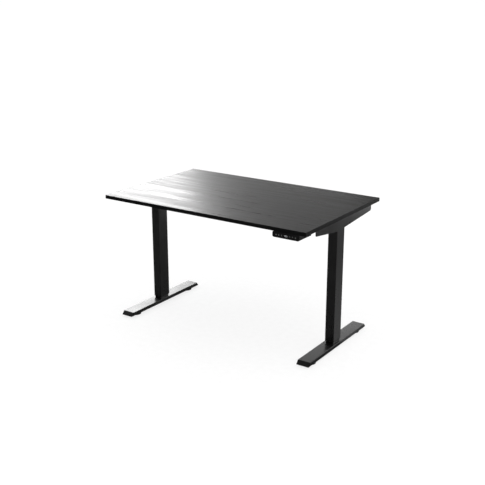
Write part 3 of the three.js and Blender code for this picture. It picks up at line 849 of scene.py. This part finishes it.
def make_motor_can():
    low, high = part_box("motor_can")
    axis_z = (low.z + high.z) / 2
    radius = (high.z - low.z) / 2
    can = round_bar("motor_can_pressed", radius, (low.x, 0, axis_z), (high.x - 8 * MM, 0, axis_z), 64)
    cap = round_bar("cap", radius, (high.x - 7.4 * MM, 0, axis_z), (high.x, 0, axis_z), 64)
    open_edit(cap, "FACE", facing(RIGHT))
    bpy.ops.mesh.inset(thickness=5 * MM)
    pull((-1.6 * MM, 0, 0))
    bpy.ops.mesh.inset(thickness=7 * MM)
    pull((1.6 * MM, 0, 0))
    close_edit()
    neck_start, neck_end = (high.x - 8.4 * MM, 0, axis_z), (high.x - 7 * MM, 0, axis_z)
    neck = round_bar("neck", radius - 0.8 * MM, neck_start, neck_end, 64)
    motor = together("motor_can_pressed", ease(neck, 0.1 * MM, 1), ease(cap, 0.6 * MM, 2), ease(can, MM, 3))
    fit(motor, "lift", "motor_paint", "motor_can")
    places = [((high.x, y * MM, axis_z), RIGHT) for y in (-19.4, 19.4)]
    fasten("motor_cap_screws", SMALL_SCREW, places, ZINC_SCREW)


# ---------------------------------------------------------------- control box
def make_control_plate():
    low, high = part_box("control_box_plate")
    plate = bar("control_box_mount", low, high)
    bevel(plate, 6 * MM, 6, runs_along(UP))
    fit(ease(plate, 0.3 * MM, 2), "lift", "zinc", "control_box_plate")
    rows = (low.y + 16 * MM, high.y - 16 * MM)
    places = [((side * (high.x - 7 * MM), y, low.z), -UP) for side in (-1, 1) for y in rows]
    fasten("control_box_screws", WOOD_SCREW, places, ZINC_SCREW)


def make_control_cover():
    low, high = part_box("control_box_cover")
    cover = bar("control_box_housing", low, high)
    hollow(cover, UP, 2 * MM, high.z - low.z - 2 * MM)

    def outer_edge(edge):
        upright = runs_along(UP)(edge) and abs(abs(edge.verts[0].co.x) - high.x) < TINY
        return upright or lies_at(UP, low.z)(edge)

    bevel(cover, 4 * MM, 5, outer_edge)
    for step in range(9):
        y = low.y + 24 * MM + step * 7.75 * MM
        vent = bar("vent", (60 * MM, y - 1.3 * MM, low.z - MM), (100 * MM, y + 1.3 * MM, low.z + 3 * MM))
        bevel(vent, 1.2 * MM, 4, runs_along(UP))
        bore(cover, vent)
    fit(ease(cover, 0.3 * MM, 2), "lift", "black_plastic", "control_box_cover")
    rows = (low.y + 12 * MM, high.y - 12 * MM)
    corners = [((x, y, low.z), -UP) for x in (low.x + 12 * MM, high.x - 12 * MM) for y in rows]
    fasten("control_box_cover_screws", SMALL_SCREW, corners, BLACK_SCREW)


def make_power_inlet():
    low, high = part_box("power_inlet")
    inlet = bar("power_inlet_moulded", low, high)
    hollow(inlet, -RIGHT, 3 * MM, 16 * MM)
    bevel(inlet, 4 * MM, 4, lambda edge: runs_along(RIGHT)(edge) and lies_at(UP, low.z)(edge))
    fit(ease(inlet, 0.5 * MM, 2), "lift", "black_plastic", "power_inlet")
    pins = []
    middle_y, middle_z = (low.y + high.y) / 2, (low.z + high.z) / 2
    for y, z in ((-5.5, 1.5), (0, -2.5), (5.5, 1.5)):
        centre = Vector((0, middle_y + y * MM, middle_z + z * MM))
        start = centre + Vector((low.x + 6 * MM, -0.9 * MM, -2 * MM))
        end = centre + Vector((high.x - 3.5 * MM, 0.9 * MM, 2 * MM))
        pins.append(ease(bar("pin", start, end), 0.3 * MM, 2))
    fit(together("power_inlet_pins", *pins), "lift", "steel")


# ---------------------------------------------------------------- handset
SLIP = 0.25 * MM
KEYS = [name for name in frame["nodes"] if name.startswith("button_")]


def make_handset_body():
    low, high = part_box("handset_body")
    body = bar("handset_housing", low, high)
    open_edit(body, "EDGE", lambda edge: lies_at(BACK, high.y)(edge) and lies_at(UP, low.z)(edge))
    bpy.ops.transform.translate(value=(0, 0, 2 * MM))
    close_edit()

    def lower_back(edge):
        along_back = lies_at(BACK, high.y)(edge) and runs_along(RIGHT)(edge)
        return along_back and not lies_at(UP, high.z)(edge)

    bevel(body, 6 * MM, 6, lower_back)

    def long_corner(edge):
        ends = [corner.co for corner in edge.verts]
        beside = all(abs(end.x - low.x) < TINY or abs(end.x - high.x) < TINY for end in ends)
        return beside and abs(ends[0].y - ends[1].y) > 50 * MM

    bevel(body, 8.5 * MM, 8, long_corner)
    face_low, face_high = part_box("handset_bezel")
    pocket_low = (face_low.x - SLIP, low.y - 5 * MM, face_low.z - SLIP)
    pocket = bar("pocket", pocket_low, (face_high.x + SLIP, low.y + 13 * MM, face_high.z + SLIP))
    bevel(pocket, 4 * MM, 6, runs_along(BACK))
    bore(body, pocket)
    fit(ease(body, 0.35 * MM, 2), "lift", "black_plastic", "handset_body")


def make_handset_bezel():
    low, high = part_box("handset_bezel")
    front, rear = low.y - MM, high.y + MM
    bezel = bar("handset_bezel_moulded", low, high)
    bevel(bezel, 3.8 * MM, 6, runs_along(BACK))
    z = (low.z + high.z) / 2
    for key in KEYS:
        key_low, key_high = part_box(key)
        x = (key_low.x + key_high.x) / 2
        bore(bezel, round_bar("hole", 5.8 * MM, (x, front, z), (x, rear, z), 48))
    glass_low, glass_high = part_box("handset_display")
    window_low = (glass_low.x - SLIP, front, glass_low.z - SLIP)
    window = bar("window", window_low, (glass_high.x + SLIP, rear, glass_high.z + SLIP))
    bore(bezel, window)
    fit(ease(bezel, 0.3 * MM, 2), "lift", "black_plastic", "handset_bezel")


def make_display():
    low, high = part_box("handset_display")
    glass = bar("handset_display_window", low, high)
    fit(ease(glass, 0.3 * MM, 2), "lift", "display", "handset_display")
    make_digits(low, high)


SEGMENTS = {"2": "abged", "8": "abcdefg", "5": "afgcd"}


def make_digits(low, high):
    """Lit seven-segment figures behind the display window."""
    height, width, stroke = 6.4 * MM, 3.4 * MM, 0.75 * MM
    middle = (low + high) / 2
    face = low.y - 0.05 * MM
    bars = {
        "a": (0, 1, True), "g": (0, 0, True), "d": (0, -1, True),
        "f": (-1, 0.5, False), "b": (1, 0.5, False), "e": (-1, -0.5, False), "c": (1, -0.5, False),
    }

    def lit_bar(x, z, across, up):
        piece = bar("segment", (x - across, face - 0.08 * MM, z - up), (x + across, face, z + up))
        return ease(piece, 0.03 * MM, 1)

    lit = []
    for place, figure in ((-5.6 * MM, "2"), (-0.2 * MM, "8"), (6.4 * MM, "5")):
        for segment in SEGMENTS[figure]:
            across, up, level = bars[segment]
            x = middle.x + place + across * width / 2
            z = middle.z + up * height / 2
            half = (width / 2 - 0.15 * MM, stroke / 2) if level else (stroke / 2, height / 4 - 0.1 * MM)
            lit.append(lit_bar(x, z, *half))
    lit.append(lit_bar(middle.x + 3.1 * MM, middle.z - height / 2, 0.4 * MM, 0.4 * MM))
    fit(together("handset_figures", *lit), "lift", "display", material=LIT)


def make_key(node):
    low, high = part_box(node)
    x, z = (low.x + high.x) / 2, (low.z + high.z) / 2
    radius = (high.x - low.x) / 2
    cap = round_bar(f"{node}_cap", radius, (x, high.y, z), (x, low.y, z), 48)
    open_edit(cap, "FACE", facing(-BACK))
    bpy.ops.mesh.inset(thickness=1.3 * MM)
    bpy.ops.transform.translate(value=(0, 0.35 * MM, 0))
    close_edit()
    fit(ease(cap, 0.35 * MM, 3), node, "key_plastic", node)
    legend = make_legend(node, x, low.y + 0.35 * MM, z)
    fit(legend, node, "key_plastic", material=INK)


def make_legend(node, x, face, z):
    """Arrow, ring or figure printed on a key; it stands a few hundredths proud."""
    mark = node.split("_")[1]
    if mark in "123":
        bpy.ops.object.select_all(action="DESELECT")
        bpy.ops.object.text_add(location=(0, 0, 0))
        text = bpy.context.object
        text.data.body = mark
        text.data.size = 6.5 * MM
        text.data.align_x = "CENTER"
        text.data.align_y = "CENTER"
        text.data.extrude = 0.05 * MM
        grab(text)
        bpy.ops.object.convert(target="MESH")
        legend = bpy.context.object
        legend.location = (x, face, z)
        legend.rotation_euler = (math.pi / 2, 0, 0)
        return settle(legend, f"{node}_legend")
    depth = 0.06 * MM
    if mark == "memory":
        ring = round_bar("ring", 2.2 * MM, (x, face + depth, z), (x, face - depth, z), 40)
        return bore(ring, round_bar("hole", 1.5 * MM, (x, face + MM, z), (x, face - MM, z), 40))
    arrow = round_bar(f"{node}_legend", 2.7 * MM, (x, face + depth, z), (x, face - depth, z), 3)
    tip = max(arrow.data.vertices, key=lambda corner: abs(corner.co.z - z)).co
    if (tip.z > z) != (mark == "up"):
        open_edit(arrow, "FACE", everything)
        bpy.ops.transform.resize(value=(1, 1, -1), center_override=(x, face, z))
        bpy.ops.mesh.normals_make_consistent(inside=False)
        close_edit()
    return arrow


# ---------------------------------------------------------------- held leads and their clips
MOTOR_ROUTE = [
    (-289.75, 12, 628), (-268, 12, 628), (-252, 16, 644), (-244, 21, 670),
    (-235, 30, 687), (-215, 60, 688.5), (-190, 140, 688.5), (-170, 215, 688),
    (-156, 250, 682), (-142, 263, 673), (-132, 265, 671), (-120.25, 265, 671),
]
HANDSET_ROUTE = [
    (502, -269.75, 685.5), (502, -260, 685.5), (502, -250, 686.5), (502, -220, 688.5), (500, -140, 688.5),
    (490, -40, 688.5), (455, 90, 688.5), (380, 180, 688.5), (280, 225, 688.5), (200, 234, 688),
    (170, 235, 684), (148, 235, 674), (132, 235, 671), (120.25, 235, 671),
]


def make_lead(name, node, route):
    line = bpy.data.curves.new(name, "CURVE")
    line.dimensions = "3D"
    line.resolution_u = 8
    line.bevel_depth = 2.5 * MM
    line.bevel_resolution = 4
    line.use_fill_caps = True
    spline = line.splines.new("BEZIER")
    spline.bezier_points.add(len(route) - 1)
    for point, place in zip(spline.bezier_points, route):
        point.co = Vector(place) * MM
        point.handle_left_type = "AUTO"
        point.handle_right_type = "AUTO"
    lead = bpy.data.objects.new(name, line)
    bpy.context.scene.collection.objects.link(lead)
    grab(lead)
    bpy.ops.object.convert(target="MESH")
    lead = bpy.context.object
    bpy.ops.object.shade_smooth_by_angle(angle=math.radians(60))
    fit(settle(lead, name), "lift", "lead_sheath", node)
    reliefs = []
    for near, far in ((route[0], route[1]), (route[-1], route[-2])):
        start, end = Vector(near) * MM, Vector(far) * MM
        reach = start + (end - start).normalized() * 9 * MM
        relief = round_bar("relief", 4.4 * MM, start, reach, 32)
        way = (reach - start).normalized()
        open_edit(relief, "FACE", facing(way))
        bpy.ops.transform.resize(value=(0.72, 0.72, 0.72), center_override=reach)
        close_edit()
        reliefs.append(ease(relief, 0.5 * MM, 2))
    fit(together(f"{name}_reliefs", *reliefs), "lift", "lead_sheath")


def make_clip_master():
    """Nailed saddle clip for a lead that runs along X, hanging below z = 0."""
    arch = round_bar("clip_master", 4.1 * MM, (-4 * MM, 0, -3.5 * MM), (4 * MM, 0, -3.5 * MM), 32)
    block = bar("block", (-4 * MM, -4.1 * MM, -3.5 * MM), (4 * MM, 4.1 * MM, 0))
    tab = bar("tab", (-4 * MM, 3 * MM, -6 * MM), (4 * MM, 11 * MM, 0))
    for piece in (arch, block):
        bore(piece, round_bar("lead", 2.7 * MM, (-9 * MM, 0, -3.5 * MM), (9 * MM, 0, -3.5 * MM), 32))
    nail = round_bar("nail", 2.2 * MM, (0, 7.4 * MM, -5 * MM), (0, 7.4 * MM, -7.4 * MM), 24)
    return together("clip_master", *[ease(piece, 0.4 * MM, 2) for piece in (arch, block, tab, nail)])


def make_clips():
    master = make_clip_master()
    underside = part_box("desktop")[0].z
    made = []
    for route, indexes in ((MOTOR_ROUTE, (5, 6)), (HANDSET_ROUTE, (4, 5, 6, 7, 8))):
        for index in indexes:
            before, here, after = (Vector(route[step]) * MM for step in (index - 1, index, index + 1))
            grab(master)
            bpy.ops.object.duplicate()
            clip = bpy.context.object
            way = after - before
            clip.rotation_euler = (0, 0, math.atan2(way.y, way.x))
            clip.location = (here.x, here.y, underside)
            made.append(settle(clip, "clip"))
    fit(together("lead_clips", *made), "lift", "black_plastic")
    bpy.data.objects.remove(master)


# ---------------------------------------------------------------- hidden works keep their own shape
def finish_hidden_works():
    slots = {part["node"]: part["material_slot"] for part in frame["record"]["subparts"]}
    for name, node in frame["nodes"].items():
        upright = name.endswith(("lead_screw", "screw_gear", "thrust_bearing"))
        node.data.materials.clear()
        node.data.materials.append(UPRIGHT_STEEL if upright else FINISHES[slots[name]])


# ---------------------------------------------------------------- studio
def make_studio():
    bpy.ops.object.select_all(action="DESELECT")
    bpy.ops.mesh.primitive_plane_add(size=400, location=(0, 0, -0.5 * MM))
    floor = bpy.context.object
    floor.name = "floor"
    paper = Recipe("studio_paper")
    fibres = paper.noise(30.0, 3)
    paper.colour(paper.shades(fibres, (0.3, grey(0.90)), (0.7, grey(0.92))))
    paper.shader.inputs["Roughness"].default_value = 0.9
    floor.data.materials.append(paper.material)
    floor.visible_glossy = False

    world = bpy.data.worlds.new("studio")
    bpy.context.scene.world = world
    world.use_nodes = True
    backdrop = world.node_tree.nodes["Background"]
    backdrop.inputs["Color"].default_value = (1, 1, 1, 1)
    paths = world.node_tree.nodes.new("ShaderNodeLightPath")
    seen = world.node_tree.nodes.new("ShaderNodeMapRange")
    seen.inputs["To Min"].default_value = 0.07
    seen.inputs["To Max"].default_value = 1.0
    world.node_tree.links.new(paths.outputs["Is Camera Ray"], seen.inputs["Value"])
    world.node_tree.links.new(seen.outputs["Result"], backdrop.inputs["Strength"])

    floor_only = linked_to("floor_only", floor, "INCLUDE")
    all_but_floor = linked_to("all_but_floor", floor, "EXCLUDE")
    wash = sun("floor_wash", 2.75, 30, (0, 0, 0))
    wash.light_linking.receiver_collection = floor_only
    wash.light_linking.blocker_collection = floor_only
    sun("overhead", 0.7, 140, (math.radians(-8), math.radians(6), 0))
    for box in (
        softbox("glare_box", (-4.4, 3.1, 2.6), (-0.5, -0.1, 0.5), (2.8, 2.8), 158),
        softbox("back_box", (-3.1, 5.0, 1.15), (0.0, 0.3, 0.7), (2.4, 1.1), 12),
        softbox("low_back_box", (-0.05, 1.25, 0.42), (0.56, 0.1, 0.03), (0.9, 0.5), 1.2),
        softbox("left_box", (-3.6, 0.4, 1.3), (-0.5, 0.0, 0.4), (1.8, 1.8), 60),
        softbox("rear_box", (2.7, 4.4, 1.7), (0.2, 0.0, 0.4), (3.4, 2.2), 34),
        softbox("side_box", (1.5, 2.5, 0.8), (0.5, 0.0, 0.4), (1.0, 1.5), 13),
        softbox("floor_strip", (0.98, 0.75, 0.03), (0.97, 0.73, 1.0), (0.35, 1.6), 0.45),
    ):
        box.light_linking.receiver_collection = all_but_floor


def linked_to(name, piece, state):
    """Set of what a light reaches: this piece alone, or everything but it."""
    group = bpy.data.collections.new(name)
    group.objects.link(piece)
    group.collection_objects[0].light_linking.link_state = state
    return group


def sun(name, strength, spread, turn):
    """Distant soft light; the spread is its apparent size in degrees."""
    light = bpy.data.lights.new(name, "SUN")
    light.energy = strength
    light.angle = math.radians(spread)
    holder = bpy.data.objects.new(name, light)
    bpy.context.scene.collection.objects.link(holder)
    holder.rotation_euler = turn
    return holder


def softbox(name, place, target, size, power):
    """Soft rectangular light aimed from its place at a target."""
    light = bpy.data.lights.new(name, "AREA")
    light.shape = "RECTANGLE"
    light.size, light.size_y = size
    light.energy = power
    holder = bpy.data.objects.new(name, light)
    bpy.context.scene.collection.objects.link(holder)
    holder.location = place
    aim = Vector(target) - Vector(place)
    holder.rotation_euler = aim.to_track_quat("-Z", "Y").to_euler()
    holder.visible_camera = False
    return holder


def make_camera():
    camera = bpy.data.objects.new("camera", bpy.data.cameras.new("camera"))
    bpy.context.scene.collection.objects.link(camera)
    camera.data.sensor_width = 36
    camera.data.lens = 62.8
    camera.location = (2.4176, -3.5492, 1.8238)
    aim = Vector((-0.0975, 0.1506, 0.4)) - camera.location
    camera.rotation_euler = aim.to_track_quat("-Z", "Y").to_euler()
    bpy.context.scene.camera = camera
    bpy.context.scene.view_settings.view_transform = "Standard"


make_camera()
make_studio()
finish_hidden_works()
make_top()
for hand in SIDES:
    make_foot(hand)
    make_columns(hand)
    make_collar(hand)
    make_side_bracket(hand)
    make_head(hand)
    make_gearbox_cover(hand)
make_cross_rails()
make_drive_shaft()
make_gear_case()
make_gear_lid()
make_motor_can()
make_control_plate()
make_control_cover()
make_power_inlet()
make_handset_body()
make_handset_bezel()
make_display()
for key in KEYS:
    make_key(key)
make_lead("motor_lead_sheathed", "motor_lead", MOTOR_ROUTE)
make_lead("handset_lead_sheathed", "handset_lead", HANDSET_ROUTE)
make_clips()
for master in MASTERS:
    bpy.data.objects.remove(master)
